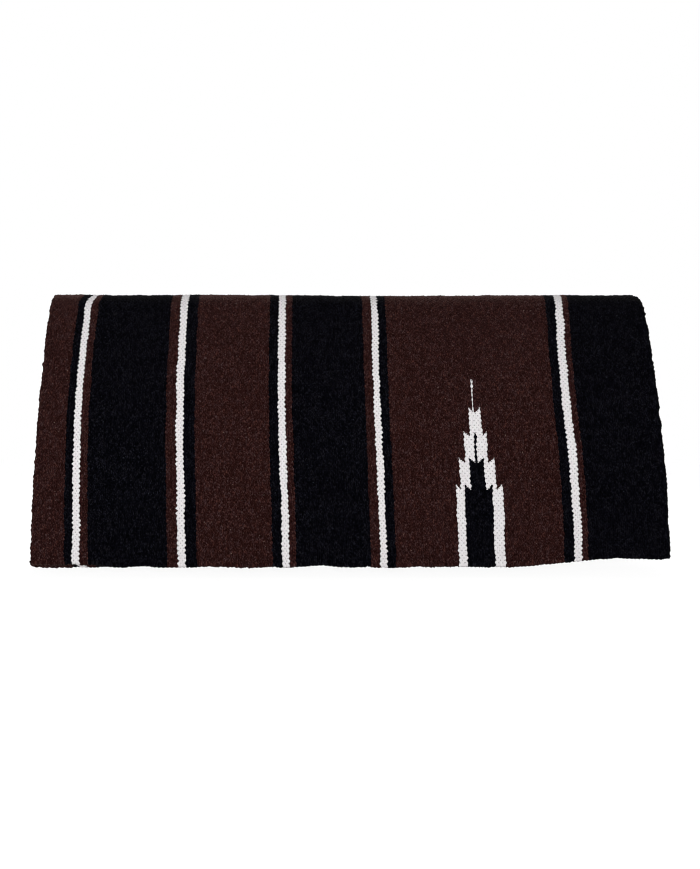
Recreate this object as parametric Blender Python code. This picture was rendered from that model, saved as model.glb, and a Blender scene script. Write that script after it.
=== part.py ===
"""Woven saddle blanket, folded double along its length and laid over a ridge.

The blanket is one long weft-faced cloth. It is folded double at its right-hand end, so an outer and an
inner leaf lie on each other, and both hang over the ridge as a near flap and a far flap. Each colour band
is woven with its own yarn and is its own solid. X runs along the ridge, the near flap hangs towards -Y,
and the origin is on the ridge's underside, where the blanket rests on what carries it.
"""

import math

import bmesh
import bpy

# Cloth. Lengths are in metres.
leaf_thickness = 0.005
leaf_gap = 0.0003
band_gap = 0.0003
flap_drop = 0.406

# Shape of the drape, from the ridge down one flap
crown_flat = 0.010
crown_radius = 0.040
crown_turn = math.radians(60.0)
crown_steps = 4
flap_steps = 5

# Widths of the bands along the ridge, from the open left end to the fold at the right end
brown_end_width = 0.0432
black_stripe_1_width = 0.0106
white_stripe_1_width = 0.0089
brown_stripe_1_width = 0.0103
black_band_1_width = 0.1015
brown_stripe_2_width = 0.0135
white_stripe_2_width = 0.0095
black_stripe_2_width = 0.0146
brown_band_1_width = 0.0965
black_stripe_3_width = 0.0122
white_stripe_3_width = 0.0090
brown_stripe_3_width = 0.0080
black_band_2_width = 0.0953
brown_stripe_4_width = 0.0121
white_stripe_4_width = 0.0083
black_stripe_4_width = 0.0113
figure_band_width = 0.2147
black_stripe_5_width = 0.0124
white_stripe_5_width = 0.0101
brown_stripe_5_width = 0.0079
fold_band_width = 0.1049

# Stepped spear figure that grows from the hem in the widest brown band. Each step ends in a prong.
figure_offset = 0.0021
figure_foot_height = 0.1006
figure_foot_width = 0.0584
core_foot_width = 0.0330
figure_shoulder_height = 0.0351
figure_shoulder_width = 0.0450
core_shoulder_width = 0.0168
figure_neck_height = 0.0320
figure_neck_width = 0.0299
core_neck_width = 0.0035
figure_head_height = 0.0320
figure_head_width = 0.0157
figure_tip_height = 0.0411
figure_tip_width = 0.0020
prong_height = 0.0065
prong_width = 0.0026

# How the cloth lies askew and is drawn in at its ends
ridge_shift = 0.0121
left_draw_in = 0.0140
left_draw_reach = 0.080
right_draw_in = 0.0010
right_draw_reach = 0.060
hem_rise = 0.0108
hem_rise_start = 0.190
hem_rise_length = 0.150
corner_cut = 0.003
inner_overhang = 0.0040
inner_overhang_length = 0.130
inner_shift = 0.0110
inner_shift_start = 0.040
fold_droop = 0.006
fold_droop_width = 0.016
fold_droop_reach = 0.060
fold_turn_steps = 6

# Yarn colours, linear
black_colour = (0.003, 0.003, 0.004, 1.0)
brown_colour = (0.023, 0.009, 0.009, 1.0)
white_colour = (0.68, 0.66, 0.67, 1.0)
yarn_roughness = 0.95

bands = (
    ("brown_end", "brown", brown_end_width),
    ("black_stripe_1", "black", black_stripe_1_width),
    ("white_stripe_1", "white", white_stripe_1_width),
    ("brown_stripe_1", "brown", brown_stripe_1_width),
    ("black_band_1", "black", black_band_1_width),
    ("brown_stripe_2", "brown", brown_stripe_2_width),
    ("white_stripe_2", "white", white_stripe_2_width),
    ("black_stripe_2", "black", black_stripe_2_width),
    ("brown_band_1", "brown", brown_band_1_width),
    ("black_stripe_3", "black", black_stripe_3_width),
    ("white_stripe_3", "white", white_stripe_3_width),
    ("brown_stripe_3", "brown", brown_stripe_3_width),
    ("black_band_2", "black", black_band_2_width),
    ("brown_stripe_4", "brown", brown_stripe_4_width),
    ("white_stripe_4", "white", white_stripe_4_width),
    ("black_stripe_4", "black", black_stripe_4_width),
    ("figure_band", "brown", figure_band_width),
    ("black_stripe_5", "black", black_stripe_5_width),
    ("white_stripe_5", "white", white_stripe_5_width),
    ("brown_stripe_5", "brown", brown_stripe_5_width),
    ("fold_band", "black", fold_band_width),
)
# The inner leaf repeats the bands. Each of its panels is one colour group with the white stripe after it.
inner_panels = (
    ("inner_brown_end", "brown", 0, 2),
    ("inner_black_1", "black", 3, 6),
    ("inner_brown_1", "brown", 7, 10),
    ("inner_black_2", "black", 11, 14),
    ("inner_figure_ground", "brown", 15, 19),
)
yarn_colours = {"black": black_colour, "brown": brown_colour, "white": white_colour}
cloth_length = sum(width for name, yarn, width in bands)
half_length = cloth_length / 2
inner_depth = leaf_thickness + leaf_gap
full_depth = 2 * leaf_thickness + leaf_gap
ridge_start = band_gap / 2
corner_stop = corner_cut - half_length
fold_start = half_length - fold_band_width


def clamp(value):
    return min(1.0, max(0.0, value))


def smooth(value):
    share = clamp(value)
    return share * share * (3 - 2 * share)


def drape_profile():
    """Outer face of one flap as (way, out, down, mitre out, mitre down) at each crease of the polyline.

    The way is measured along the cloth from the ridge. The cloth is level on the crown, turns round it by
    crown_turn, and then bends evenly until it hangs straight down at the hem.
    """
    flap_length = flap_drop - crown_flat - crown_radius * crown_turn
    flap_turn = math.pi / 2 - crown_turn
    runs = [(crown_flat, 0.0)]
    for step in range(crown_steps):
        runs.append((crown_radius * crown_turn / crown_steps, crown_turn * (step + 0.5) / crown_steps))
    for step in range(flap_steps):
        runs.append((flap_length / flap_steps, crown_turn + flap_turn * (step + 0.5) / flap_steps))
    creases = []
    way = 0.0
    out = 0.0
    down = 0.0
    for place, (length, slope) in enumerate(runs):
        before = runs[place - 1][1] if place else slope
        creases.append(crease(way, out, down, before, slope))
        way += length
        out += length * math.cos(slope)
        down += length * math.sin(slope)
    creases.append(crease(way, out, down, runs[-1][1], runs[-1][1]))
    return creases


def crease(way, out, down, slope_before, slope_after):
    middle = (slope_before + slope_after) / 2
    stretch = 1 / math.cos((slope_after - slope_before) / 2)
    return way, out, down, -math.sin(middle) * stretch, math.cos(middle) * stretch


creases = drape_profile()
crease_ways = [place[0] for place in creases]


def hem_change(along, far, inner):
    """How much shorter the flap is at this place along the ridge."""
    rise = hem_rise * smooth((along - hem_rise_start) / hem_rise_length)
    from_left = along + half_length
    cut = corner_cut * clamp(1 - from_left / corner_cut)
    if far:
        return cut - rise
    if inner:
        return cut + rise - inner_overhang * clamp(1 - from_left / inner_overhang_length)
    return cut + rise


def place_point(along, way, depth, far, inner):
    """Blanket coordinates to space: along the ridge, way down the flap, depth under the outer face."""
    last = crease_ways[-2]
    way -= hem_change(along, far, inner) * clamp((way - last) / (flap_drop - last))
    index = 0
    while index < len(creases) - 2 and way > crease_ways[index + 1]:
        index += 1
    first = creases[index]
    second = creases[index + 1]
    share = (way - first[0]) / (second[0] - first[0])
    out, down, mitre_out, mitre_down = (a + (b - a) * share for a, b in zip(first[1:], second[1:]))
    out += mitre_out * depth
    down += mitre_down * depth
    height_share = clamp(1 - way / flap_drop)
    across = along - ridge_shift * (2 - height_share if far else height_share)
    if inner:
        shift_share = clamp((along + half_length) / inner_shift_start)
        across += inner_shift * shift_share * clamp((fold_start - along) / (fold_start + half_length))
    across += left_draw_in * height_share * math.exp(-(along + half_length) / left_draw_reach)
    across -= right_draw_in * height_share * height_share * math.exp((along - half_length) / right_draw_reach)
    droop = fold_droop * clamp((along - half_length + fold_droop_width) / fold_droop_width) ** 2
    down += droop * clamp(1 - way / fold_droop_reach)
    side = 1 if far else -1
    return across + ridge_shift, side * out, full_depth - down


def finish(name, yarn, mesh_data, far):
    """Makes the named object, with its faces pointing out and its own yarn material."""
    points, faces = mesh_data
    mesh = bpy.data.meshes.new(name)
    mesh.from_pydata(points, [], faces)
    solid = bmesh.new()
    solid.from_mesh(mesh)
    bmesh.ops.recalc_face_normals(solid, faces=solid.faces)
    solid.to_mesh(mesh)
    solid.free()
    material = bpy.data.materials.new(name + "_yarn")
    material.use_nodes = True
    shader = material.node_tree.nodes["Principled BSDF"]
    shader.inputs["Base Color"].default_value = yarn_colours[yarn]
    shader.inputs["Roughness"].default_value = yarn_roughness
    material.diffuse_color = yarn_colours[yarn]
    mesh.materials.append(material)
    item = bpy.data.objects.new(name, mesh)
    bpy.context.scene.collection.objects.link(item)
    if far:
        item.parent = hinge
    return item


def cut_rows(rows):
    """Splits rows of (start, end, intervals) at the creases of the drape."""
    result = []
    for start, end, intervals in rows:
        stops = [start] + [way for way in crease_ways if start < way < end] + [end]
        for low, high in zip(stops, stops[1:]):
            result.append((low, high, intervals))
    return result


def overlap(first, second):
    """Stretches that lie in both lists of intervals."""
    shared = []
    for low_a, high_a in first:
        for low_b, high_b in second:
            low = max(low_a, low_b)
            high = min(high_a, high_b)
            if high > low:
                shared.append((low, high))
    return shared


def covered(low, high, intervals):
    """Whether one of the intervals holds the middle of this stretch."""
    middle = (low + high) / 2
    return any(start < middle < end for start, end in intervals)


def weave(rows, far, inner):
    """Closed solid from rows of intervals: each row is a stretch of the flap, each interval a width of yarn."""
    depths = (inner_depth, full_depth) if inner else (0.0, leaf_thickness)
    rows = cut_rows(rows)
    points = []
    faces = []
    index = {}

    def corner(along, way, face):
        key = (along, way, face)
        if key not in index:
            index[key] = len(points)
            points.append(place_point(along, way, depths[face], far, inner))
        return index[key]

    def stops_on(way, low, high):
        found = {low, high}
        if low < corner_stop < high:
            found.add(corner_stop)
        for start, end, intervals in rows:
            if way in (start, end):
                found.update(x for pair in intervals for x in pair if low < x < high)
        return sorted(found)

    for place, (start, end, intervals) in enumerate(rows):
        above = rows[place - 1][2] if place else []
        below = rows[place + 1][2] if place + 1 < len(rows) else []
        for low, high in intervals:
            upper = stops_on(start, low, high)
            lower = stops_on(end, low, high)
            for face in (0, 1):
                ring = [corner(x, start, face) for x in upper]
                ring += [corner(x, end, face) for x in reversed(lower)]
                faces.append(ring)
            for x in (low, high):
                faces.append([corner(x, start, 0), corner(x, end, 0), corner(x, end, 1), corner(x, start, 1)])
            for way, stops, others in ((start, upper, above), (end, lower, below)):
                for a, b in zip(stops, stops[1:]):
                    if not covered(a, b, others):
                        faces.append([corner(a, way, 0), corner(b, way, 0), corner(b, way, 1), corner(a, way, 1)])
    return points, faces


def band_edges(number):
    """Where a band starts and ends along the ridge, less half the gap to its neighbours."""
    start = sum(width for name, yarn, width in bands[:number]) - half_length
    end = start + bands[number][2]
    return start + (band_gap / 2 if number else 0.0), end - band_gap / 2


def plain_rows(first, last):
    """One stretch from the ridge to the hem, as wide as the bands from first to last."""
    return [(ridge_start, flap_drop, [(band_edges(first)[0], band_edges(last)[1])])]


def figure_tiers():
    """Tiers of the figure from the tip to the hem: start, end, width of the white, width of the black core."""
    heights = (figure_tip_height, figure_head_height, figure_neck_height, figure_shoulder_height, figure_foot_height)
    whites = (figure_tip_width, figure_head_width, figure_neck_width, figure_shoulder_width, figure_foot_width)
    cores = (0.0, 0.0, core_neck_width, core_shoulder_width, core_foot_width)
    start = flap_drop - sum(heights)
    tiers = []
    for height, white, core in zip(heights, whites, cores):
        tiers.append((start, start + height, white, core))
        start += height
    return tiers


def joined_rows(rows):
    """Insets rows from each other by half a gap and bridges them where both hold the same yarn."""
    result = []
    for place, (start, end, intervals) in enumerate(rows):
        low = start + (band_gap / 2 if place else 0.0)
        if place + 1 == len(rows):
            result.append((low, end, intervals))
            break
        high = end - band_gap / 2
        following = rows[place + 1]
        result.append((low, high, intervals))
        result.append((high, following[0] + band_gap / 2, overlap(intervals, following[2])))
    return result


def tier_stops(white, core, white_above, core_above):
    """Yarns of the figure's right half from its middle out, as (reach, yarn), at the prongs and below them."""
    below = [(core / 2, "core"), (white / 2, "white"), (None, "ground")]
    prongs = [(core_above / 2, "core")]
    if core_above:
        prongs += [(core / 2 - prong_width, "white"), (core / 2, "core")]
    prongs.append((white_above / 2, "white"))
    prongs += [(white / 2 - prong_width, "ground"), (white / 2, "white"), (None, "ground")]
    return prongs, below


def yarn_intervals(yarn, stops, low, high, middle):
    """Intervals of one yarn in a row of the figure, mirrored about its middle and held off its neighbours."""
    inset = band_gap / 2
    intervals = []
    inner = 0.0
    for reach, name in stops:
        if name == yarn and reach is None:
            intervals += [(low, middle - inner - inset), (middle + inner + inset, high)]
        elif name == yarn and inner:
            intervals += [(middle - reach + inset, middle - inner - inset)]
            intervals += [(middle + inner + inset, middle + reach - inset)]
        elif name == yarn and reach:
            intervals.append((middle - reach + inset, middle + reach - inset))
        inner = inner if reach is None else reach
    return sorted(intervals)


def figure_rows(number):
    """Rows of the brown ground, the white figure and its black core in the figure's band."""
    low, high = band_edges(number)
    middle = (low + high) / 2 + figure_offset
    tiers = figure_tiers()
    rows = []
    white_above = 0.0
    core_above = 0.0
    for start, end, white, core in tiers:
        prongs, below = tier_stops(white, core, white_above, core_above)
        if white_above:
            rows.append((start, start + prong_height, prongs))
            start += prong_height
        rows.append((start, end, below))
        white_above = white
        core_above = core
    result = []
    for yarn in ("ground", "white", "core"):
        spread = [(start, end, yarn_intervals(yarn, stops, low, high, middle)) for start, end, stops in rows]
        held = [row for row in spread if row[2]]
        if yarn == "ground":
            held.insert(0, (ridge_start, tiers[0][0], [(low, high)]))
        else:
            held[0] = (held[0][0] + band_gap / 2, held[0][1], held[0][2])
        result.append(joined_rows(held))
    return result


def fold_section(number):
    """Hairpin section of the band that turns round the fold: outer leaf, turn, inner leaf."""
    low = band_edges(number)[0]
    radius = full_depth / 2
    slit = leaf_gap / 2
    turn = half_length - radius
    step = half_length - fold_droop_width
    section = [(low, 0.0), (step, 0.0)]
    for count in range(fold_turn_steps + 1):
        angle = math.pi * count / fold_turn_steps
        section.append((turn + radius * math.sin(angle), radius - radius * math.cos(angle)))
    section += [(step, full_depth), (low, full_depth), (low, radius + slit), (step, radius + slit)]
    section += [(turn, radius + slit), (turn, radius - slit), (step, radius - slit), (low, radius - slit)]
    return section


def sweep(section, far):
    """Closed solid of a section carried down the flap from the ridge to the hem."""
    ways = [ridge_start] + [way for way in crease_ways if ridge_start < way < flap_drop] + [flap_drop]
    points = []
    faces = []
    count = len(section)
    for way in ways:
        points += [place_point(along, way, depth, far, False) for along, depth in section]
    for ring in range(len(ways) - 1):
        for corner in range(count):
            following = (corner + 1) % count
            a = ring * count + corner
            b = ring * count + following
            faces.append([a, b, b + count, a + count])
    last = (len(ways) - 1) * count
    for base in (0, last):
        faces += [[base + corner for corner in ring] for ring in cap_rings(count)]
    return points, faces


def cap_rings(count):
    """Faces that close the hairpin section: outer leaf, turn and inner leaf."""
    turn_first = 2
    turn_last = turn_first + fold_turn_steps
    inner_step = turn_last + 1
    inner_low = inner_step + 1
    slit_inner = count - 4
    slit_outer = count - 3
    rings = [[0, 1, count - 2, count - 1], [1, turn_first, slit_outer, count - 2]]
    middle = turn_first + fold_turn_steps // 2
    for corner in range(turn_first, middle):
        rings.append([corner, corner + 1, slit_outer])
    rings.append([middle, slit_inner, slit_outer])
    for corner in range(middle, turn_last):
        rings.append([corner, corner + 1, slit_inner])
    rings += [[turn_last, inner_step, count - 5, slit_inner], [inner_step, inner_low, count - 6, count - 5]]
    return rings


def build_flap(side, far):
    for number, (name, yarn, width) in enumerate(bands):
        if name == "fold_band":
            finish(f"{side}_{name}", yarn, sweep(fold_section(number), far), far)
        elif name == "figure_band":
            ground, white, core = figure_rows(number)
            finish(f"{side}_{name}", yarn, weave(ground, far, False), far)
            finish(f"{side}_white_figure", "white", weave(white, far, False), far)
            finish(f"{side}_black_core", "black", weave(core, far, False), far)
        else:
            finish(f"{side}_{name}", yarn, weave(plain_rows(number, number), far, False), far)
    for name, yarn, first, last in inner_panels:
        finish(f"{side}_{name}", yarn, weave(plain_rows(first, last), far, True), far)


for item in list(bpy.data.objects):
    bpy.data.objects.remove(item)

# The far flap lifts about the top line of the ridge
hinge = bpy.data.objects.new("ridge_line", None)
hinge.location = (0.0, 0.0, full_depth)
bpy.context.scene.collection.objects.link(hinge)
bpy.context.view_layer.update()

build_flap("near", False)
build_flap("far", True)
for item in hinge.children:
    item.matrix_parent_inverse = hinge.matrix_world.inverted()
bpy.context.view_layer.update()
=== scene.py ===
import bpy
import numpy as np
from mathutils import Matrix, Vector


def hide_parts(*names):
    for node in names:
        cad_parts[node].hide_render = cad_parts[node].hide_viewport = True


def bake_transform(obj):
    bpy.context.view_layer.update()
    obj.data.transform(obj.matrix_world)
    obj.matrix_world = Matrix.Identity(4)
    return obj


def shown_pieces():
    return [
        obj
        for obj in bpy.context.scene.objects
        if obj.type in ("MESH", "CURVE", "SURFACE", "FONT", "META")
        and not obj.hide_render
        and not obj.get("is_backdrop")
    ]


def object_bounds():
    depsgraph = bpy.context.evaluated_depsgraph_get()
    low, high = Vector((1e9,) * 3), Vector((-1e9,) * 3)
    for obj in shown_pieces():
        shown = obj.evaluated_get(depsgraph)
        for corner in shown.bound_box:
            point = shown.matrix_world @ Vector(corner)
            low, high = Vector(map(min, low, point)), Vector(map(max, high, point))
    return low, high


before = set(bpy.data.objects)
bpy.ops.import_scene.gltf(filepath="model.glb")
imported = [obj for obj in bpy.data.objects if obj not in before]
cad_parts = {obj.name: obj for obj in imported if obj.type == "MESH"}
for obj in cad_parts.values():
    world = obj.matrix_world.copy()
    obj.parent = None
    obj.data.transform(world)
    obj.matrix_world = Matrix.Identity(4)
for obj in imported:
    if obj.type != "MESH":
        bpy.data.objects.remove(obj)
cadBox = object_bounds()
print("frame loaded:", len(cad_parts), "nodes")

# The blanket's lengths are in millimetres until a mesh is made, and the studio's are in metres
metre = 1000.0
leafThickness = 5.0
leafGap = 0.3

# The drape, from the ridge down one flap. The far flap mirrors it.
drape = {
    "flapDrop": 406.0,
    "crownFlat": 10.0,
    "crownRadius": 40.0,
    "crownTurn": np.radians(60.0),
    "hemZone": 70.0,
    "ridgeShift": 12.1,
    "bow": 2.3,
    "bowStart": 70.0,
    "bowLength": 250.0,
    "bowLeftReach": 25.0,
    "bowRightReach": 60.0,
    "leftDrawIn": 14.0,
    "leftDrawReach": 80.0,
    "rightDrawIn": 1.0,
    "rightDrawReach": 60.0,
    "hemRise": 10.8,
    "hemRiseStart": 190.0,
    "hemRiseLength": 150.0,
    "cornerCut": 1.0,
    "hemWave": 0.6,
    "hemWaveReach": 17.0,
    "leftRise": 3.6,
    "leftRiseEnd": 125.0,
    "leftRiseLength": 50.0,
    "innerOverhang": 0.4,
    "innerOverhangEnd": 150.0,
    "innerOverhangLength": 90.0,
    "innerShift": 11.0,
    "innerShiftStart": 40.0,
    "crownSag": 1.9,
    "crownSagPlace": 97.0,
    "crownSagReach": 170.0,
    "foldDroop": 6.0,
    "foldDroopWidth": 16.0,
    "foldDroopReach": 60.0,
    "ripple": 0.4,
    "rippleOut": 0.5,
    "rippleOutTurn": 1.7,
    "blendReach": 80.0,
    "profileStep": 0.5,
    "profileOver": 30.0,
}

# Where a line of the weave wanders: place and spread along the ridge, shift, and the ways from the ridge
# where it starts and where it is whole
wanders = (
    (-349.0, 18.0, 9.0, 52.0, 8.0),
    (-352.0, 5.0, -1.6, 384.0, 389.0),
    (-407.0, 20.0, 1.0, 60.0, 150.0),
    (-407.0, 20.0, -1.0, 280.0, 340.0),
    (14.0, 14.0, 2.0, 90.0, 170.0),
    (14.0, 14.0, -2.0, 250.0, 310.0),
    (14.0, 9.0, 2.4, 330.0, 337.0),
    (14.0, 7.0, 2.4, 394.0, 406.0),
    (289.5, 22.0, 4.2, 75.0, 15.0),
    (289.5, 22.0, -2.0, 80.0, 130.0),
    (289.5, 22.0, 2.0, 200.0, 260.0),
    (110.0, 40.0, 2.0, 190.0, 240.0),
    (110.0, 40.0, -2.0, 260.0, 310.0),
)

# Places where the near hem is shorter: place and spread along the ridge, and how much
hemNotches = ((-39.0, 20.0, 3.0), (-268.0, 13.0, 1.8))

# The weave. A pick is one pass of weft over the ridge, and a bead is where it shows between two warps.
weave = {
    "pickPitch": 2.63,
    "beadPitch": 6.35,
    "stripePicks": 4,
    "beadHeight": 0.9,
    "beadRound": 0.7,
    "pickRound": 0.6,
    "beadSink": 0.45,
    "beadSway": 0.2,
    "stripeSway": 0.34,
    "swayUneven": 0.35,
    "swayUnevenReach": 6.0,
    "swayNoise": 0.15,
    "swayNoiseReach": 9.0,
    "fineSway": 0.5,
    "fineSwayReach": 3.2,
    "heightNoise": 0.3,
    "warpWander": 0.07,
    "warpWanderPicks": 7.0,
    "warpWanderReach": 16.0,
    "outerColumns": 3,
    "innerColumns": 2,
    "rowsPerBead": 4,
    "turnPicks": 6,
    "foldEdgePicks": 13,
    "seed": 11,
    "tableSize": (1024, 512),
    "tableStart": 200.0,
    "tableStep": 7,
}

# The hem, where each pair of picks turns and makes a knob: how much longer the cloth is there, the knob's
# height, how far it stands out in parts of that, and how much picks and pairs differ
hem = {
    "extra": 0.9,
    "knob": 1.0,
    "knobOut": 1.8,
    "pickTooth": 0.45,
    "pairUneven": 0.5,
    "pairReach": 9.0,
}

# Lumps of the cloth: height, size in picks and along them, and how soon they fade from the open end in
# picks, from the fold in picks, and from the crown in millimetres
lumps = {
    "end": {"height": 0.55, "picks": 2.5, "reach": 7.0, "fade": 8.0},
    "fold": {"height": 0.5, "picks": 5.0, "reach": 5.0, "fade": 6.0},
    "crown": {"height": 0.5, "picks": 5.0, "reach": 12.0, "fade": 24.0},
}

# Slow waves of the cloth, which cross at unlike angles: period down the flap, period along the ridge, share
# and phase
rippleWaves = (
    (97.0, 310.0, 0.5, 0.0),
    (58.0, -170.0, 0.3, 2.1),
    (33.0, 95.0, 0.2, 4.2),
)

# Where each unevenness starts in the table of random values
tableRow = {
    "beadHeight": 13,
    "warpWander": 50,
    "hemKnob": 77,
    "fineSway": 300,
    "swayUneven": 400,
    "end": 700,
    "fold": 800,
    "crown": 860,
    "hemWave": 900,
}

# Bands of the outer leaf from the open end to the fold: name, yarn, width
bands = (
    ("brown_end", "brown", 43.2),
    ("black_stripe_1", "black", 10.6),
    ("white_stripe_1", "white", 8.9),
    ("brown_stripe_1", "brown", 10.3),
    ("black_band_1", "black", 101.5),
    ("brown_stripe_2", "brown", 13.5),
    ("white_stripe_2", "white", 9.5),
    ("black_stripe_2", "black", 14.6),
    ("brown_band_1", "brown", 96.5),
    ("black_stripe_3", "black", 12.2),
    ("white_stripe_3", "white", 9.0),
    ("brown_stripe_3", "brown", 9.2),
    ("black_band_2", "black", 94.1),
    ("brown_stripe_4", "brown", 12.1),
    ("white_stripe_4", "white", 8.3),
    ("black_stripe_4", "black", 11.3),
    ("figure_band", "brown", 214.7),
    ("black_stripe_5", "black", 12.4),
    ("white_stripe_5", "white", 10.1),
    ("brown_stripe_5", "brown", 7.9),
    ("fold_band", "black", 104.9),
)

# The stepped spear, tip first: height of each tier, then its picks left and right of the tip's left side,
# for the white yarn and for the black core
figure = {
    "offset": 2.1,
    "tiers": (
        (39.7, 0, 1, 0, 0),
        (31.8, -2, 4, 0, 0),
        (34.9, -5, 6, 0, 1),
        (34.9, -8, 9, -3, 4),
        (99.5, -10, 12, -6, 7),
    ),
    "prong": 7.5,
    "margin": 2,
    "spread": 0.8,
    "spreadStart": 190.0,
    "spreadEase": 60.0,
    "spreadFull": 12.0,
    "spreadReach": 55.0,
}

# The line of the spear's tip is thinner than its one pick, with a knot in it. The slit below it is wider at
# its top and thinner further down. Each has the way from the ridge where it starts, how soon it is whole,
# and the same where it ends.
tipLine = {
    "pinch": 0.75,
    "pinchFull": 1.3,
    "pinchReach": 7.0,
    "tip": (150.0, 4.0, 203.0, 6.0),
    "knot": 0.5,
    "knotPlace": 170.0,
    "knotSpread": 4.0,
    "slit": (236.0, 6.0, 296.0, 8.0),
    "slitWide": 0.6,
    "slitNarrowing": 1.6,
    "slitNarrowStart": 246.0,
    "slitNarrowLength": 40.0,
}

bandWidths = np.array([width for name, yarn, width in bands])
halfLength = bandWidths.sum() / 2
foldRadius = leafThickness + leafGap / 2
halfLeaf = leafThickness / 2

# Picks are counted from the open end, and the first band has one more, which is rounded there. The straight
# outer leaf ends where the fold's turn begins.
straightWidths = bandWidths.copy()
straightWidths[-1] -= foldRadius
bandPicks = np.rint(straightWidths / weave["pickPitch"]).astype(int)
bandPicks[[yarn == "white" for name, yarn, width in bands]] = weave["stripePicks"]
bandPicks[0] += 1
pickEdges = np.concatenate([[0], np.cumsum(bandPicks)])
bandEdges = np.concatenate([[0.0], np.cumsum(straightWidths)]) - halfLength
straightPicks = pickEdges[-1]
figureNumber = [name for name, yarn, width in bands].index("figure_band")
figureMiddle = (bandEdges[figureNumber] + bandEdges[figureNumber + 1]) / 2 + figure["offset"]
tipPick = int(round(np.interp(figureMiddle, bandEdges, pickEdges) - 0.5))
tipMiddle = np.interp(tipPick + 0.5, pickEdges, bandEdges)
turnPicks = weave["turnPicks"]
clothPicks = 2 * straightPicks + turnPicks

# How far each line between picks sways. The edges of the white stripes are the most toothed.
swayOf = np.full(clothPicks + 2, weave["beadSway"])
whiteBands = [number for number, (name, yarn, width) in enumerate(bands) if yarn == "white"]
stripeLines = [number + side for number in whiteBands for side in (0, 1)]
swayOf[pickEdges[stripeLines]] = weave["stripeSway"]
swayOf[clothPicks - pickEdges[stripeLines]] = weave["stripeSway"]


def clamp(value):
    return np.clip(value, 0.0, 1.0)


def smooth(value):
    share = clamp(value)
    return share * share * (3 - 2 * share)


def between(value, start, startEase, end, endEase):
    # 1 between start and end, eased in from start and out from end
    return smooth((value - start) / startEase) * (1 - smooth((value - end) / endEase))


def makeProfile():
    # Outer face of a flap: level on the crown, then round crownRadius by crownTurn, then the slope grows
    # evenly until the cloth hangs straight down. Out and down are the running sums of its cosine and sine.
    arc = drape["crownRadius"] * drape["crownTurn"]
    way = np.arange(0.0, drape["flapDrop"] + drape["profileOver"], drape["profileStep"])
    stops = [0, drape["crownFlat"], drape["crownFlat"] + arc, drape["flapDrop"]]
    slope = np.interp(way, stops, [0, 0, drape["crownTurn"], np.pi / 2])
    middle = (slope[1:] + slope[:-1]) / 2
    out = np.concatenate([[0.0], np.cumsum(np.cos(middle) * np.diff(way))])
    down = np.concatenate([[0.0], np.cumsum(np.sin(middle) * np.diff(way))])
    return way, out, down, slope


profileWay, profileOut, profileDown, profileSlope = makeProfile()


def hemChange(along, far, inner):
    # How much shorter the cloth is at the hem. The near hem rises to the right and the far one drops there.
    # At the open end the near flap's outer leaf is shorter, so that the inner one shows.
    fromLeft = along + halfLength
    rise = drape["hemRise"] * smooth((along - drape["hemRiseStart"]) / drape["hemRiseLength"])
    change = drape["cornerCut"] * clamp(1 - fromLeft / drape["cornerCut"]) + np.where(far, -rise, rise)
    lift = drape["leftRise"] * smooth((drape["leftRiseEnd"] - fromLeft) / drape["leftRiseLength"])
    overhang = smooth((drape["innerOverhangEnd"] - fromLeft) / drape["innerOverhangLength"])
    change = change + np.where(far, 0.0, np.where(inner, -drape["innerOverhang"] * overhang, lift))
    wave = slub(np.where(far, 4, 3), along, drape["hemWaveReach"], tableRow["hemWave"])
    change = change + drape["hemWave"] * wave
    for place, spread, size in hemNotches:
        change = change + np.where(far, 0.0, size) * np.exp(-((along - place) / spread) ** 2)
    return change


def figureShift(along, line):
    # The spear's sides spread towards the hem, and the one pick of its tip and of the slit is pinched
    fromSpear = along - figureMiddle
    low = smooth((line - figure["spreadStart"]) / figure["spreadEase"])
    spread = figure["spread"] * low * np.tanh(fromSpear / figure["spreadFull"])
    spread = spread * np.exp(-(fromSpear / figure["spreadReach"]) ** 4)
    thin = between(line, *tipLine["tip"])
    thin = thin - tipLine["knot"] * np.exp(-((line - tipLine["knotPlace"]) / tipLine["knotSpread"]) ** 2)
    slit = between(line, *tipLine["slit"])
    narrow = clamp((line - tipLine["slitNarrowStart"]) / tipLine["slitNarrowLength"])
    thin = thin + slit * (tipLine["slitNarrowing"] * narrow - tipLine["slitWide"])
    fromTip = along - tipMiddle
    pinch = tipLine["pinch"] * thin * np.tanh(fromTip / tipLine["pinchFull"])
    return spread - pinch * np.exp(-(fromTip / tipLine["pinchReach"]) ** 2)


def alongShift(along, signedWay, inner, height):
    # How far the cloth lies from its straight place along the ridge: it is skewed and bowed, its ends are
    # drawn in towards the ridge, some lines wander, and the inner leaf's stripes lie further right.
    line = np.abs(signedWay)
    fromLeft = along + halfLength
    fromFold = halfLength - along
    shift = -drape["ridgeShift"] * signedWay / drape["flapDrop"]
    inward = clamp((bandEdges[-2] - along) / (bandEdges[-2] + halfLength))
    inward = inward * clamp(fromLeft / drape["innerShiftStart"])
    shift = shift + np.where(inner, drape["innerShift"], 0.0) * inward
    shift = shift + drape["leftDrawIn"] * height * np.exp(-fromLeft / drape["leftDrawReach"])
    shift = shift - drape["rightDrawIn"] * height**2 * np.exp(-fromFold / drape["rightDrawReach"])
    bow = np.sin(np.pi * clamp((line - drape["bowStart"]) / drape["bowLength"]))
    bow = bow * (1 - np.exp(-fromLeft / drape["bowLeftReach"]))
    bow = bow * (1 - np.exp(-clamp(fromFold / drape["bowRightReach"])))
    shift = shift - drape["bow"] * bow
    for place, spread, size, start, whole in wanders:
        share = smooth((line - start) / (whole - start))
        shift = shift + size * share * np.exp(-((along - place) / spread) ** 2)
    return shift + figureShift(along, line)


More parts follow.
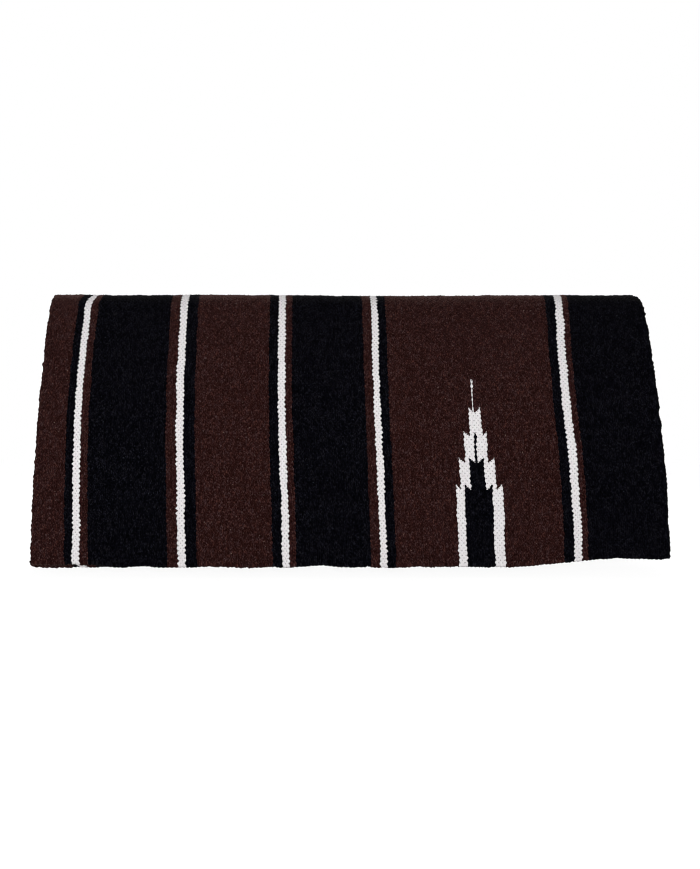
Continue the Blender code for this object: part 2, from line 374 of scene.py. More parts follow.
def clothPoint(along, depth, signedWay, inner):
    # Blanket coordinates to space. The profile gives out and down, and depth is measured square to it. The
    # crown sags a little in its middle and droops at the fold.
    far = signedWay > 0
    way = np.abs(signedWay)
    hemShare = clamp((way - drape["flapDrop"] + drape["hemZone"]) / drape["hemZone"])
    way = way - hemChange(along, far, inner) * hemShare
    slope = np.interp(way, profileWay, profileSlope)
    out = np.interp(way, profileWay, profileOut) - np.sin(slope) * depth
    down = np.interp(way, profileWay, profileDown) + np.cos(slope) * depth
    height = clamp(1 - way / drape["flapDrop"])
    across = along + alongShift(along, signedWay, inner, height)
    droop = drape["foldDroop"] * clamp(1 - (halfLength - along) / drape["foldDroopWidth"]) ** 2
    sag = drape["crownSag"] * np.exp(-((along - drape["crownSagPlace"]) / drape["crownSagReach"]) ** 2)
    down = down + (droop + sag) * clamp(1 - way / drape["foldDroopReach"])
    across, out, down = np.broadcast_arrays(across, out, down)
    points = np.stack([across, np.where(far, out, -out), 2 * foldRadius - down], axis=-1)
    return points / metre


rng = np.random.default_rng(weave["seed"])
slubTable = rng.normal(size=weave["tableSize"])


def slub(index, way, reach, shift=0):
    # Smooth noise along each pick: one random value every reach, eased from one to the next
    rows, places = slubTable.shape
    place = way / reach + weave["tableStart"]
    low = np.floor(place).astype(int)
    share = smooth(place - low)
    row = (index + shift) % rows
    return slubTable[row, low % places] * (1 - share) + slubTable[row, (low + 1) % places] * share


def field(across, down, shift):
    # Smooth noise over the cloth: random values on a grid, eased from one to the next both ways
    low = np.floor(across).astype(int)
    share = smooth(across - low)
    return slub(low, down, 1.0, shift) * (1 - share) + slub(low + 1, down, 1.0, shift) * share


def ripple(along, way, size, turn):
    # Slow wander of the cloth, as the sum of its waves
    total = 0.0
    for wayPeriod, alongPeriod, share, phase in rippleWaves:
        angle = 2 * np.pi * (way / wayPeriod + along / alongPeriod) + turn + phase
        total = total + share * np.sin(angle)
    return size * total


def section(pick, offset):
    # Across the cloth: pick count and offset from its middle to place along the ridge and depth. The outer
    # leaf runs to the fold, turns round foldRadius and comes back as the inner leaf.
    back = clothPicks - pick
    angle = np.pi * clamp((pick - straightPicks) / turnPicks)
    straight = np.interp(np.minimum(pick, back), pickEdges, bandEdges)
    radius = foldRadius - halfLeaf + offset
    turning = (pick > straightPicks) & (back > straightPicks)
    along = np.where(turning, bandEdges[-1] + radius * np.sin(angle), straight)
    return along, foldRadius - radius * np.cos(angle)


def lump(kind, pick, arc, distance):
    # Lumps of one kind, which fade with the distance
    shape = lumps[kind]
    size = field(pick / shape["picks"], arc / shape["reach"], tableRow[kind])
    return shape["height"] * size * np.exp(-distance / shape["fade"])


def sway(line, arc, phase):
    # How far the line between two picks is pushed to and fro, in picks
    uneven = weave["swayUneven"] * slub(line, arc, weave["swayUnevenReach"], tableRow["swayUneven"])
    push = -swayOf[line] * np.cos(phase) * np.cos(np.pi * line) * (1 + uneven)
    fine = weave["fineSway"] * slub(line, arc, weave["fineSwayReach"], tableRow["fineSway"])
    return push + weave["swayNoise"] * (slub(line, arc, weave["swayNoiseReach"]) + fine)


def beadRelief(pick, share, arc, bead, phase):
    # A bead rises as a raised cosine along its pick and a sine across it, higher or lower by chance. The
    # cloth's lumps come on top.
    number = np.floor(pick + 1e-6).astype(int)
    row = (weave["tableStep"] * number + tableRow["beadHeight"]) % len(slubTable)
    chance = slubTable[row, np.rint(bead + 0.5 * (number % 2)).astype(int) % slubTable.shape[1]]
    along = (0.5 + 0.5 * np.cos(phase + np.pi * number)) ** weave["beadRound"]
    rise = along * np.abs(np.sin(np.pi * share)) ** weave["pickRound"]
    relief = weave["beadHeight"] * (rise * (1 + weave["heightNoise"] * chance) - weave["beadSink"])
    relief = relief + lump("end", pick, arc, pick)
    relief = relief + lump("fold", pick, arc, np.abs(pick - clothPicks / 2))
    return relief + lump("crown", pick, arc, arc**2 / lumps["crown"]["fade"])


def weftSurface(columns, rowWay, rowTurn, rowSide):
    # One face of the cloth on a grid of rows (down the flaps) and columns (picks). Beads of neighbouring
    # picks lie like bricks and push the lines between picks to and fro. rowTurn rounds the hem.
    pick = np.broadcast_to(columns[None, :], (len(rowWay), len(columns)))
    way = np.broadcast_to(rowWay[:, None], pick.shape)
    turn = np.broadcast_to(rowTurn[:, None], pick.shape)
    side = np.broadcast_to(rowSide[:, None], pick.shape)
    number = np.floor(pick + 1e-6).astype(int)
    share = pick - number
    end = np.where(way > 0, 1.0, -1.0)
    arc = way + end * halfLeaf * turn
    wander = field(pick / weave["warpWanderPicks"], arc / weave["warpWanderReach"], tableRow["warpWander"])
    bead = arc / weave["beadPitch"] + weave["warpWander"] * wander
    phase = 2 * np.pi * bead
    shifted = pick + sway(number, arc, phase) * (1 - share) + sway(number + 1, arc, phase) * share
    relief = beadRelief(pick, share, arc, bead, phase) * np.where(side > 0, 1.0, 0.0)
    # Each pair of picks makes a knob where it turns at the hem
    pair = hem["pairUneven"] * slub(number // 2, 0 * arc, hem["pairReach"], tableRow["hemKnob"])
    knob = hem["pickTooth"] * np.cos(np.pi * pick) + pair * (1 - share) + hem["knobOut"]
    relief = relief + np.sin(turn) * hem["knob"] * knob
    # Round the open end: the first pick of the outer leaf, or the last of the inner one
    fromEnd = np.minimum(pick, clothPicks - pick)
    endTurn = np.pi / 2 * clamp(1 - fromEnd)
    reach = halfLeaf + relief
    offset = side * reach * np.cos(turn) * np.cos(endTurn)
    inside = np.clip(shifted, 1.0, clothPicks - 1.0)
    shifted = np.where(endTurn > 0, inside, shifted)
    along, depth = section(shifted, offset)
    along = along - reach * np.sin(endTurn)
    along = along + ripple(along, arc, drape["ripple"], 0.0)
    rippleOut = ripple(along, arc, drape["rippleOut"], drape["rippleOutTurn"])
    signedWay = way + end * reach * np.sin(turn) * np.cos(endTurn)
    return clothPoint(along, depth + rippleOut, signedWay, depth > foldRadius)


def makeMesh(name, points, quads, others, pickWay, finishesWorn, slotOfQuad=None, walls=()):
    # Closed mesh from quads and a few larger polygons. Edges of its walls are sharp.
    sizes = np.concatenate([np.full(len(quads), 4), [len(ring) for ring in others]]).astype(np.int32)
    loops = np.concatenate([quads.ravel()] + [np.asarray(ring) for ring in others]).astype(np.int32)
    used, loops = np.unique(loops, return_inverse=True)
    loops = loops.ravel().astype(np.int32)
    mesh = bpy.data.meshes.new(name)
    mesh.vertices.add(len(used))
    mesh.vertices.foreach_set("co", points[used].astype(np.float32).ravel())
    mesh.loops.add(len(loops))
    mesh.loops.foreach_set("vertex_index", loops)
    mesh.polygons.add(len(sizes))
    starts = np.concatenate([[0], np.cumsum(sizes)[:-1]]).astype(np.int32)
    mesh.polygons.foreach_set("loop_start", starts)
    mesh.polygons.foreach_set("loop_total", sizes)
    mesh.polygons.foreach_set("use_smooth", np.ones(len(sizes), bool))
    if slotOfQuad is not None:
        slots = np.concatenate([slotOfQuad, np.zeros(len(others), int)]).astype(np.int32)
        mesh.polygons.foreach_set("material_index", slots)
    mesh.update(calc_edges=True)
    ends = np.zeros(2 * len(mesh.edges), np.int32)
    mesh.edges.foreach_get("vertices", ends)
    ends = np.sort(ends.reshape(-1, 2), axis=1).astype(np.int64)
    place = {int(old): new for new, old in enumerate(used)} if len(walls) else {}
    pairs = []
    for ring in walls:
        pairs += [(place[a], place[b]) for a, b in zip(ring, [*ring[1:], ring[0]]) if a != b]
    if pairs:
        pairs = np.sort(np.array(pairs, np.int64), axis=1)
        sharp = np.isin(ends[:, 0] * len(used) + ends[:, 1], pairs[:, 0] * len(used) + pairs[:, 1])
        mesh.attributes.new("sharp_edge", "BOOLEAN", "EDGE").data.foreach_set("value", sharp)
    uvMap = mesh.uv_layers.new(name="yarn")
    uvMap.data.foreach_set("uv", pickWay[used][loops].astype(np.float32).ravel())
    for finish in finishesWorn:
        mesh.materials.append(finish)
    item = bpy.data.objects.new(name, mesh)
    bpy.context.scene.collection.objects.link(item)
    return item


def columnsOf(first, last, perPick):
    return np.linspace(first, last, (last - first) * perPick + 1)


def wayRows(rowsPerBead):
    # Rows of the face: an even count in each bead, from hem to hem
    step = weave["beadPitch"] / rowsPerBead
    count = int((drape["flapDrop"] - halfLeaf) / step)
    return step * np.arange(-count, count + 1)


# Rows round the hem, from the shown face to the hidden side, and rows down the hidden side
hemTurns = np.radians([0.0, 30.0, 60.0, 90.0, 120.0, 150.0, 180.0])
hemStart = drape["flapDrop"] - halfLeaf + hem["extra"]
hiddenWays = np.array([0, 14, 25, 36, 47, 58, 85, 120, 160, 210, 270, 336, 370, 400.0])
# How the first pick's columns are spaced where it is rounded at the open end
endSpacing = (0.3, 0.65)


def stripPiece(name, first, last, perPick, finishesWorn, slotOf=None):
    # A strip from hem to hem. Its rows run over the face, round the far hem, back along the hidden side in
    # long steps and round the near hem.
    columns = columnsOf(first, last, perPick)
    face = wayRows(weave["rowsPerBead"])
    hidden = np.concatenate([-hiddenWays[::-1], hiddenWays[1:]])[::-1]
    full = np.full(len(hemTurns), hemStart)
    rowWay = np.concatenate([face, full, hidden, -full])
    rowTurn = np.concatenate([0 * face, hemTurns, 0 * hidden, hemTurns[::-1]])
    rowSide = np.concatenate([0 * face + 1, full * 0 + 1, 0 * hidden - 1, full * 0 + 1])
    points = weftSurface(columns, rowWay, rowTurn, rowSide).reshape(-1, 3)
    rows = len(rowWay)
    count = len(columns)
    a = np.arange(rows)[:, None] * count + np.arange(count - 1)[None, :]
    b = np.roll(np.arange(rows), -1)[:, None] * count + np.arange(count - 1)[None, :]
    quads = np.stack([a, a + 1, b + 1, b], axis=-1).reshape(-1, 4)
    topOf = [int(np.argmin(np.abs(face - way))) for way in hidden]
    firstHidden = len(face) + len(hemTurns)
    rings = [list(range(topOf[0], firstHidden + 1))]
    for step in range(len(hidden) - 1):
        shown = list(range(topOf[step + 1], topOf[step] + 1))
        rings.append(shown + [firstHidden + step, firstHidden + step + 1])
    rings.append(list(range(firstHidden + len(hidden) - 1, rows)) + list(range(0, topOf[-1] + 1)))
    leftWalls = [[row * count for row in ring] for ring in rings]
    rightWalls = [[row * count + count - 1 for row in reversed(ring)] for ring in rings]
    others = leftWalls + rightWalls
    pickWay = np.stack(np.meshgrid(columns, rowWay / weave["beadPitch"]), axis=-1).reshape(-1, 2)
    slotOfQuad = None
    if slotOf is not None:
        slotOfQuad = slotOf(pickWay[quads].mean(axis=1))
    return makeMesh(name, points, quads, others, pickWay, finishesWorn, slotOfQuad, others)


def inlayPiece(name, first, last, perPick, finishesWorn, chosen=None, slotOf=None):
    # A patch with a full grid on both sides, which meet at the middle of the rounded hem and open end.
    # chosen says which cells it holds.
    columns = columnsOf(first, last, perPick)
    if first == 0:
        columns = np.concatenate([[0, *endSpacing], columns[perPick:]])
    if last == clothPicks:
        columns = np.concatenate([columns[:-perPick], [last - endSpacing[1], last - endSpacing[0], last]])
    face = wayRows(weave["rowsPerBead"])
    wrap = hemTurns[:4]
    rowWay = np.concatenate([np.full(len(wrap), -hemStart), face, np.full(len(wrap), hemStart)])
    rowTurn = np.concatenate([wrap[::-1], 0 * face, wrap])
    rows = len(rowWay)
    count = len(columns)
    top = weftSurface(columns, rowWay, rowTurn, np.ones(rows)).reshape(-1, 3)
    under = weftSurface(columns, rowWay, rowTurn, -np.ones(rows)).reshape(-1, 3)
    points = np.concatenate([top, under])
    topIndex = np.arange(rows * count).reshape(rows, count)
    rim = np.zeros((rows, count), bool)
    rim[[0, -1], :] = True
    if first == 0:
        rim[:, 0] = True
    if last == clothPicks:
        rim[:, -1] = True
    underIndex = np.where(rim, topIndex, topIndex + rows * count)
    pickWay = np.stack(np.meshgrid(columns, rowWay / weave["beadPitch"]), axis=-1).reshape(-1, 2)
    pickWay = np.concatenate([pickWay, pickWay])
    cells = np.ones((rows - 1, count - 1), bool)
    if chosen is not None:
        middle = (columns[1:] + columns[:-1]) / 2
        cellWay = (rowWay[1:] + rowWay[:-1]) / 2
        cells = chosen(*np.broadcast_arrays(middle[None, :], cellWay[:, None]))

    def ringsOf(index):
        return np.stack([index[:-1, :-1], index[:-1, 1:], index[1:, 1:], index[1:, :-1]], axis=-1)

    quads = np.concatenate([ringsOf(topIndex)[cells], ringsOf(underIndex)[cells][:, ::-1]])
    padded = np.pad(cells, 1)
    walls = []
    edgeKinds = (
        (padded[1:-1, :-2], (1, 0), (0, 0)),
        (padded[1:-1, 2:], (0, 1), (1, 1)),
        (padded[:-2, 1:-1], (0, 0), (0, 1)),
        (padded[2:, 1:-1], (1, 1), (1, 0)),
    )
    for neighbour, start, stop in edgeKinds:
        row, column = np.nonzero(cells & ~neighbour)
        a = (row + start[0], column + start[1])
        b = (row + stop[0], column + stop[1])
        walls.append(np.stack([topIndex[a], underIndex[a], underIndex[b], topIndex[b]], axis=-1))
    walls = np.concatenate(walls)
    others = []
    for ring in walls.tolist():
        ring = list(dict.fromkeys(ring))
        if len(ring) > 2:
            others.append(ring)
    slotOfQuad = None
    if slotOf is not None:
        slotOfQuad = slotOf(pickWay[quads].mean(axis=1))
    return makeMesh(name, points, quads, others, pickWay, finishesWorn, slotOfQuad, others)


def linear(code):
    # sRGB hex to linear red, green and blue
    value = np.array([int(code[place:place + 2], 16) for place in (1, 3, 5)]) / 255
    value = np.where(value <= 0.04045, value / 12.92, ((value + 0.055) / 1.055) ** 2.4)
    return (*value.tolist(), 1.0)


def addNode(tree, kind, inputs=(), **settings):
    # The inputs are values or sockets to link, in the order of the node's sockets or by their names
    node = tree.nodes.new(kind)
    for key, value in settings.items():
        setattr(node, key, value)
    for key, value in inputs.items() if isinstance(inputs, dict) else enumerate(inputs):
        if isinstance(value, bpy.types.NodeSocket):
            tree.links.new(value, node.inputs[key])
        else:
            node.inputs[key].default_value = value
    return node


# Hand-spun wool: a matt ground with paler and darker fibres, and now and then a speck of lint. grain is how
# much the pale fibres show, and pit how dark the painted shade is between beads.
yarns = {
    "brown": {
        "ground": "#251110",
        "shade": "#120504",
        "fleck": "#483839",
        "tint": "#4c2e28",
        "lint": "#76655f",
        "bloom": "#ffccc2",
        "grain": 0.9,
        "pit": 0.6,
        "sheen": 0.11,
    },
    "black": {
        "ground": "#040408",
        "shade": "#000001",
        "fleck": "#1f1f26",
        "tint": "#1b1a1d",
        "lint": "#34363d",
        "bloom": "#fffaf2",
        "grain": 0.9,
        "pit": 0.6,
        "sheen": 0.017,
    },
    "white": {
        "ground": "#e2dfe0",
        "shade": "#d6d1d3",
        "fleck": "#eae7e8",
        "tint": "#e2dcda",
        "lint": "#7b7478",
        "bloom": "#ffffff",
        "grain": 0.6,
        "pit": 1.0,
        "sheen": 0.0,
    },
}

# Noises in the yarn: size of a grain in millimetres across the picks and along them, turn from the pick,
# detail, and a start that makes each unlike the others. Single fibres are too fine to show, so each drawn
# stands for a few side by side.
woolNoises = {
    "fibreOneWay": ((0.75, 3.2), 0.35, 1.0, 0.0),
    "fibreOtherWay": ((0.75, 3.2), -0.25, 1.0, 70.0),
    "lay": ((8.0, 13.0), 0.0, 1.0, 20.0),
    "cloud": ((4.0, 9.0), 0.0, 2.0, 40.0),
    "lint": ((1.6, 2.4), -0.5, 0.0, 90.0),
    "ply": ((0.5, 1.6), 0.5, 3.0, 15.0),
}

# How the yarn shows them. An edge is where something starts to show and where it is whole.
wool = {
    "noiseRoughness": 0.6,
    "layEdge": (0.46, 0.54),
    "beadChance": 0.12,
    "darkEdge": (0.44, 0.54),
    "paleEdge": (0.605, 0.72),
    "cloudEdge": (0.4, 0.6),
    "pitAlong": (0.18, 0.04),
    "pitAcross": (0.46, 0.18),
    "pitUneven": 0.6,
    "pitShade": 0.35,
    "lintEdge": (0.83, 0.87),
    "plyStrength": 0.5,
    "plyDepth": 0.0006,
    "roughness": 0.95,
    "specular": 0.005,
    "sheenRoughness": 0.5,
}


def makeYarn(name, look):
    material = bpy.data.materials.new("handspun_wool_" + name)
    material.use_nodes = True
    tree = material.node_tree
    shader = tree.nodes["Principled BSDF"]
    colours = {key: linear(look[key]) for key in ("ground", "shade", "fleck", "tint", "lint", "bloom")}
    uv = addNode(tree, "ShaderNodeUVMap", uv_map="yarn").outputs["UV"]
    place = addNode(tree, "ShaderNodeSeparateXYZ", (uv,))
    # Every other pick is staggered by half a bead, and each bead is a little lighter or darker by chance
    pick = addNode(tree, "ShaderNodeMath", (place.outputs["X"],), operation="FLOOR").outputs[0]
    odd = addNode(tree, "ShaderNodeMath", (pick, 2.0), operation="FLOORED_MODULO").outputs[0]
    along = place.outputs["Y"]
    bead = addNode(tree, "ShaderNodeMath", (odd, 0.5, along), operation="MULTIPLY_ADD").outputs[0]
    number = addNode(tree, "ShaderNodeMath", (bead,), operation="ROUND").outputs[0]
    cell = addNode(tree, "ShaderNodeCombineXYZ", (pick, number, 3.0)).outputs[0]
    chance = addNode(tree, "ShaderNodeTexWhiteNoise", (cell,), noise_dimensions="3D").outputs["Value"]
    # Cloth coordinates in millimetres: across the picks and along them
    pitch = (weave["pickPitch"], weave["beadPitch"], 1.0)
    cloth = addNode(tree, "ShaderNodeVectorMath", (uv, pitch), operation="MULTIPLY").outputs[0]

    def noise(kind):
        size, turn, detail, start = woolNoises[kind]
        mapped = addNode(tree, "ShaderNodeMapping", {
            "Vector": cloth,
            "Location": (start, start, 0.0),
            "Rotation": (0.0, 0.0, turn),
            "Scale": (*size, 1.0),
        }, vector_type="TEXTURE").outputs[0]
        return addNode(tree, "ShaderNodeTexNoise", {
            "Vector": mapped,
            "Scale": 1.0,
            "Detail": detail,
            "Roughness": wool["noiseRoughness"],
        }).outputs["Fac"]

    # The fibres lie askew to the pick, in places one way and in places the other
    oneWay = noise("fibreOneWay")
    otherWay = noise("fibreOtherWay")
    lay = noise("lay")
    grain = addNode(tree, "ShaderNodeMapRange", (lay, *wool["layEdge"], oneWay, otherWay)).outputs[0]
    light = (chance, wool["beadChance"], grain)
    light = addNode(tree, "ShaderNodeMath", light, operation="MULTIPLY_ADD").outputs[0]
    cloud = noise("cloud")
    darkShare = addNode(tree, "ShaderNodeMapRange", (light, *wool["darkEdge"])).outputs[0]
    paleShare = (light, *wool["paleEdge"], 0.0, look["grain"])
    paleShare = addNode(tree, "ShaderNodeMapRange", paleShare).outputs[0]
    tintShare = addNode(tree, "ShaderNodeMapRange", (cloud, *wool["cloudEdge"])).outputs[0]
    # Painted shade in the pits, where one bead ends and the next begins
    pitEdges = []
    for value, edge in ((bead, wool["pitAlong"]), (place.outputs["X"], wool["pitAcross"])):
        part = addNode(tree, "ShaderNodeMath", (value,), operation="FRACT").outputs[0]
        part = addNode(tree, "ShaderNodeMath", (part, 0.5), operation="SUBTRACT").outputs[0]
        part = addNode(tree, "ShaderNodeMath", (part,), operation="ABSOLUTE").outputs[0]
        pitEdges.append(addNode(tree, "ShaderNodeMapRange", (part, *edge)).outputs[0])
    depth = addNode(tree, "ShaderNodeMath", pitEdges, operation="MULTIPLY").outputs[0]
    uneven = (chance, wool["pitUneven"] * look["pit"], (1 - wool["pitUneven"]) * look["pit"])
    uneven = addNode(tree, "ShaderNodeMath", uneven, operation="MULTIPLY_ADD").outputs[0]
    pitShadeShare = addNode(tree, "ShaderNodeMath", (depth, uneven), operation="MULTIPLY").outputs[0]
    # The pits' colour is painted shade: the shade fibre colour made much darker
    paintedPitShade = tuple(value * wool["pitShade"] for value in colours["shade"][:3]) + (1.0,)
    lint = noise("lint")
    lintShare = addNode(tree, "ShaderNodeMapRange", (lint, *wool["lintEdge"])).outputs[0]
    # From the ground up: shade and ground, pale fibres of two colours, painted shade in the pits, lint. The
    # colours of a Mix node are its sockets 6 and 7.
    pale = addNode(tree, "ShaderNodeMix", {
        0: tintShare, 6: colours["fleck"], 7: colours["tint"]}, data_type="RGBA").outputs[2]
    colour = colours["shade"]
    layers = (
        (darkShare, colours["ground"]),
        (paleShare, pale),
        (pitShadeShare, paintedPitShade),
        (lintShare, colours["lint"]),
    )
    for share, over in layers:
        colour = addNode(tree, "ShaderNodeMix", {0: share, 6: colour, 7: over}, data_type="RGBA").outputs[2]
    tree.links.new(colour, shader.inputs["Base Color"])
    bump = addNode(tree, "ShaderNodeBump", {
        "Height": noise("ply"),
        "Strength": wool["plyStrength"],
        "Distance": wool["plyDepth"],
    })
    tree.links.new(bump.outputs[0], shader.inputs["Normal"])
    shader.inputs["Roughness"].default_value = wool["roughness"]
    shader.inputs["Specular IOR Level"].default_value = wool["specular"]
    shader.inputs["Sheen Weight"].default_value = look["sheen"]
    shader.inputs["Sheen Roughness"].default_value = wool["sheenRoughness"]
    shader.inputs["Sheen Tint"].default_value = colours["bloom"]
    return material


finishes = {name: makeYarn(name, look) for name, look in yarns.items()}
print("yarns made")

bandStart = {name: int(pickEdges[number]) for number, (name, yarn, width) in enumerate(bands)}
bandEnd = {name: int(pickEdges[number + 1]) for number, (name, yarn, width) in enumerate(bands)}
foldSplit = bandEnd["fold_band"] - weave["foldEdgePicks"]
figureLow = tipPick + figure["tiers"][-1][1] - figure["margin"]
figureHigh = tipPick + figure["tiers"][-1][2] + figure["margin"]


def dress(piece, yarn, *nodes):
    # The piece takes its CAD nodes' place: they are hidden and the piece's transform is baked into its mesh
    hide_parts(*nodes)
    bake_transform(piece)


def figureYarn(pick, way):
    # 0 ground, 1 white, 2 core. The level tops of the tiers follow the beads. Where a tier is wider than
    # the one above it, its top slants up to a prong at its outer side.
    number = np.floor(pick).astype(int)
    phase = way / weave["beadPitch"] + 0.5 * (number % 2)
    bead = (np.rint(phase) - 0.5 * (number % 2)) * weave["beadPitch"]
    left = number - tipPick
    place = pick - tipPick
    yarn = np.zeros(number.shape, int)
    start = drape["flapDrop"] - sum(tier[0] for tier in figure["tiers"])
    before = (0, 0, 0, 0)
    for height, *reach in figure["tiers"]:
        for low, high, lowBefore, highBefore, colour in (
            (reach[0], reach[1], before[0], before[1], 1),
            (reach[2], reach[3], before[2], before[3], 2),
        ):
            fromLow = (place - low) / max(lowBefore - low, 1)
            fromHigh = (high - place) / max(high - highBefore, 1)
            slant = np.minimum(fromLow, fromHigh) * figure["prong"]
            slanted = (left < lowBefore) | (left >= highBefore)
            top = np.where(slanted, np.abs(way) - slant, np.abs(bead))
            held = (left >= low) & (left < high) & (top >= start - 0.5 * figure["prong"])
            yarn = np.where(held, colour, yarn)
        start += height
        before = reach
    return yarn


def weaveFigureBand(first, last, nodes):
    # Plain cloth left and right, and a middle whose ground leaves room for the figure and its core
    columns = weave["outerColumns"]
    for side, low, high in (("left", first, figureLow), ("right", figureHigh, last)):
        dress(stripPiece("figure_band_" + side, low, high, columns, [finishes["brown"]]), "brown", *nodes)
    ground = inlayPiece("figure_band_middle", figureLow, figureHigh, columns, [finishes["brown"]],
                        lambda pick, way: figureYarn(pick, way) == 0)
    dress(ground, "brown", *nodes)
    for side, sign in (("near", -1), ("far", 1)):
        for key, held, shape in (("white", 1, "white_figure"), ("black", 2, "black_core")):
            inlay = inlayPiece(shape + "_" + side, figureLow, figureHigh, columns, [finishes[key]],
                               lambda pick, way: (figureYarn(pick, way) == held) & (way * sign > 0))
            dress(inlay, key, side + "_" + shape)


for name, yarn, width in bands:
    nodes = ("near_" + name, "far_" + name)
    first = bandStart[name]
    last = bandEnd[name]
    columns = weave["outerColumns"]
    if name == "figure_band":
        weaveFigureBand(first, last, nodes)
    elif name == "fold_band":
        dress(stripPiece(name, first, foldSplit, columns, [finishes[yarn]]), yarn, *nodes)
        fold = stripPiece("fold_edge", foldSplit, clothPicks - first, columns, [finishes[yarn]])
        dress(fold, yarn, *nodes)
    else:
        make = inlayPiece if name == "brown_end" else stripPiece
        dress(make(name, first, last, columns, [finishes[yarn]]), yarn, *nodes)
print("outer leaf woven")

# Pieces of the inner leaf: name, CAD node, its yarn, and the first and last of its bands
innerPanels = (
    ("inner_brown_end", "inner_brown_end", "brown", 0, 2),
    ("inner_black_1", "inner_black_1", "black", 3, 6),
    ("inner_brown_1", "inner_brown_1", "brown", 7, 10),
    ("inner_black_2", "inner_black_2", "black", 11, 14),
    ("inner_figure_ground", "inner_figure_ground", "brown", 15, 16),
    ("inner_last_stripes", "inner_figure_ground", "brown", 17, 19),
)
yarnOrder = ("brown", "white", "black")


def innerSlots(pickWay):
    # Which yarn each cell of the inner leaf shows
    back = clothPicks - pickWay[:, 0]
    number = np.clip(np.searchsorted(pickEdges, back, side="right") - 1, 0, len(bands) - 1)
    plain = np.array([yarnOrder.index(yarn) for name, yarn, width in bands])[number]
    spear = figureYarn(back, pickWay[:, 1] * weave["beadPitch"])
    return np.where((number == figureNumber) & (spear > 0), spear, plain)


for name, node, yarn, first, last in innerPanels:
    nodes = ("near_" + node, "far_" + node)
    low = clothPicks - int(pickEdges[last + 1])
    high = clothPicks - int(pickEdges[first])
    worn = [finishes[key] for key in yarnOrder]
    make = inlayPiece if first == 0 else stripPiece
    dress(make(name, low, high, weave["innerColumns"], worn, slotOf=innerSlots), yarn, *nodes)
print("inner leaf woven")
# A white studio. The floor and the world are white to the camera, and dim enough not to wash out the yarn.
# Each lamp has its name, place, target, size and power in watts.
studio = {
    "floorSize": 6.0,
    "floorBelow": 0.004,
    "floorColour": "#f4f4f4",
    "floorRoughness": 0.9,
    "floorGlow": 1.2,
    "floorGlowShare": 0.78,
    "surround": 0.25,
    "surroundSeen": 1.0,
    "lamps": (
        ("front_soft_box", (-0.3, -2.6, 0.0), (0.0, 0.0, -0.2), 1.2, 60.0),
        ("rim_soft_box", (0.0, 1.6, 1.7), (0.0, 0.0, 0.0), 0.8, 18.0),
    ),
}
white = (1.0, 1.0, 1.0, 1.0)


def seenShare(tree):
    # 1 for what the camera sees, straight, in a reflection or through glass, and 0 for light on the blanket
    rays = addNode(tree, "ShaderNodeLightPath")
    seen = rays.outputs["Is Camera Ray"]
    for key in ("Is Glossy Ray", "Is Transmission Ray"):
        seen = addNode(tree, "ShaderNodeMath", (seen, rays.outputs[key]), operation="MAXIMUM").outputs[0]
    return seen


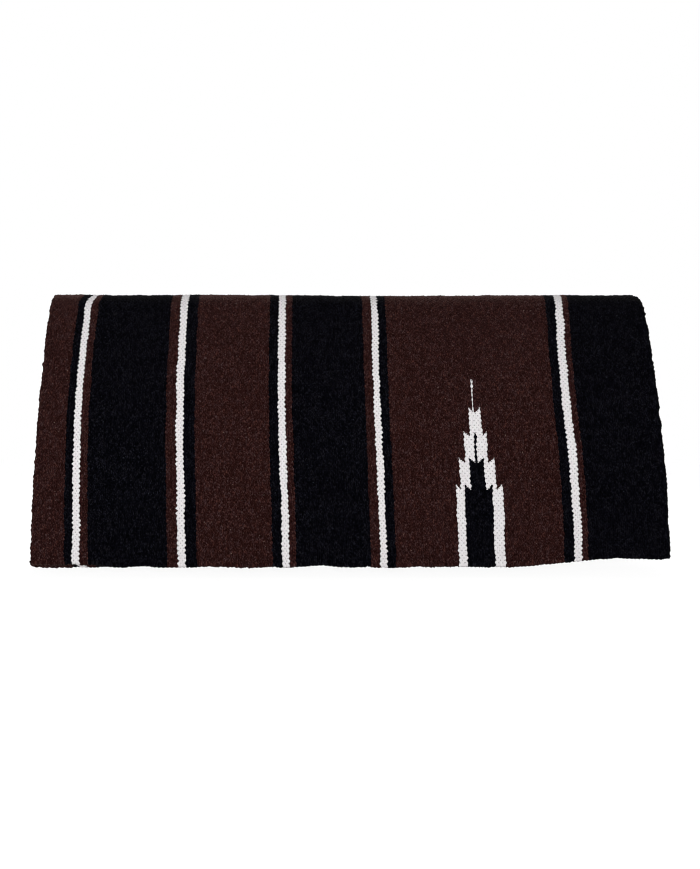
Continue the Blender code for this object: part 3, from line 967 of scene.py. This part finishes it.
def makeFloor():
    half = studio["floorSize"]
    level = cadBox[0].z - studio["floorBelow"]
    corners = [(-half, -half, level), (half, -half, level), (half, half, level), (-half, half, level)]
    mesh = bpy.data.meshes.new("floor")
    mesh.from_pydata(corners, [], [(0, 1, 2, 3)])
    floor = bpy.data.objects.new("floor", mesh)
    bpy.context.scene.collection.objects.link(floor)
    material = bpy.data.materials.new("pale_paper_floor")
    material.use_nodes = True
    tree = material.node_tree
    shader = tree.nodes["Principled BSDF"]
    shader.inputs["Base Color"].default_value = linear(studio["floorColour"])
    shader.inputs["Roughness"].default_value = studio["floorRoughness"]
    glow = addNode(tree, "ShaderNodeEmission", {"Color": white, "Strength": studio["floorGlow"]}).outputs[0]
    part = (seenShare(tree), studio["floorGlowShare"])
    part = addNode(tree, "ShaderNodeMath", part, operation="MULTIPLY").outputs[0]
    mixed = addNode(tree, "ShaderNodeMixShader", (part, shader.outputs[0], glow))
    tree.links.new(mixed.outputs[0], tree.nodes["Material Output"].inputs["Surface"])
    mesh.materials.append(material)
    floor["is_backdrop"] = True


def makeWorld():
    world = bpy.data.worlds.new("studio")
    bpy.context.scene.world = world
    world.use_nodes = True
    tree = world.node_tree
    soft = tree.nodes["Background"]
    soft.inputs["Color"].default_value = white
    soft.inputs["Strength"].default_value = studio["surround"]
    bright = addNode(tree, "ShaderNodeBackground", {"Color": white, "Strength": studio["surroundSeen"]})
    mixed = addNode(tree, "ShaderNodeMixShader", (seenShare(tree), soft.outputs[0], bright.outputs[0]))
    tree.links.new(mixed.outputs[0], tree.nodes["World Output"].inputs["Surface"])


def addLamp(name, place, target, size, power):
    # A square lamp of this size in metres and power in watts, turned towards its target
    lamp = bpy.data.lights.new(name, "AREA")
    lamp.shape = "SQUARE"
    lamp.size = size
    lamp.energy = power
    item = bpy.data.objects.new(name, lamp)
    bpy.context.scene.collection.objects.link(item)
    item.location = place
    item.rotation_mode = "QUATERNION"
    item.rotation_quaternion = (Vector(target) - Vector(place)).to_track_quat("-Z", "Y")


makeFloor()
makeWorld()
for lampRow in studio["lamps"]:
    addLamp(*lampRow)

# Camera: level, 1.5 m before the near hem, with as wide a view as the photograph's. focalPixels and
# frameHeight are in its pixels, and the sensor is in millimetres.
view = {
    "distance": 1.5,
    "focalPixels": 1181.0,
    "frameHeight": 869.0,
    "sensor": 36.0,
    "side": 0.0111,
    "aboveHem": 0.1665,
    "filterWidth": 1.1,
}
camera = bpy.data.cameras.new("camera")
camera.sensor_width = view["sensor"]
camera.lens = view["focalPixels"] / view["frameHeight"] * camera.sensor_width
cameraItem = bpy.data.objects.new("camera", camera)
bpy.context.scene.collection.objects.link(cameraItem)
nearHem = -np.interp(drape["flapDrop"], profileWay, profileOut) / metre
hemHeight = (2 * foldRadius - np.interp(drape["flapDrop"], profileWay, profileDown)) / metre
cameraItem.location = (view["side"], nearHem - view["distance"], hemHeight + view["aboveHem"])
cameraItem.rotation_euler = (np.pi / 2, 0.0, 0.0)
bpy.context.scene.camera = cameraItem
bpy.context.scene.view_settings.view_transform = "Standard"
bpy.context.scene.cycles.filter_width = view["filterWidth"]
print("stage, lamps and camera set")

count = sum(len(item.data.loops) - 2 * len(item.data.polygons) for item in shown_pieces())
print("triangles:", count)
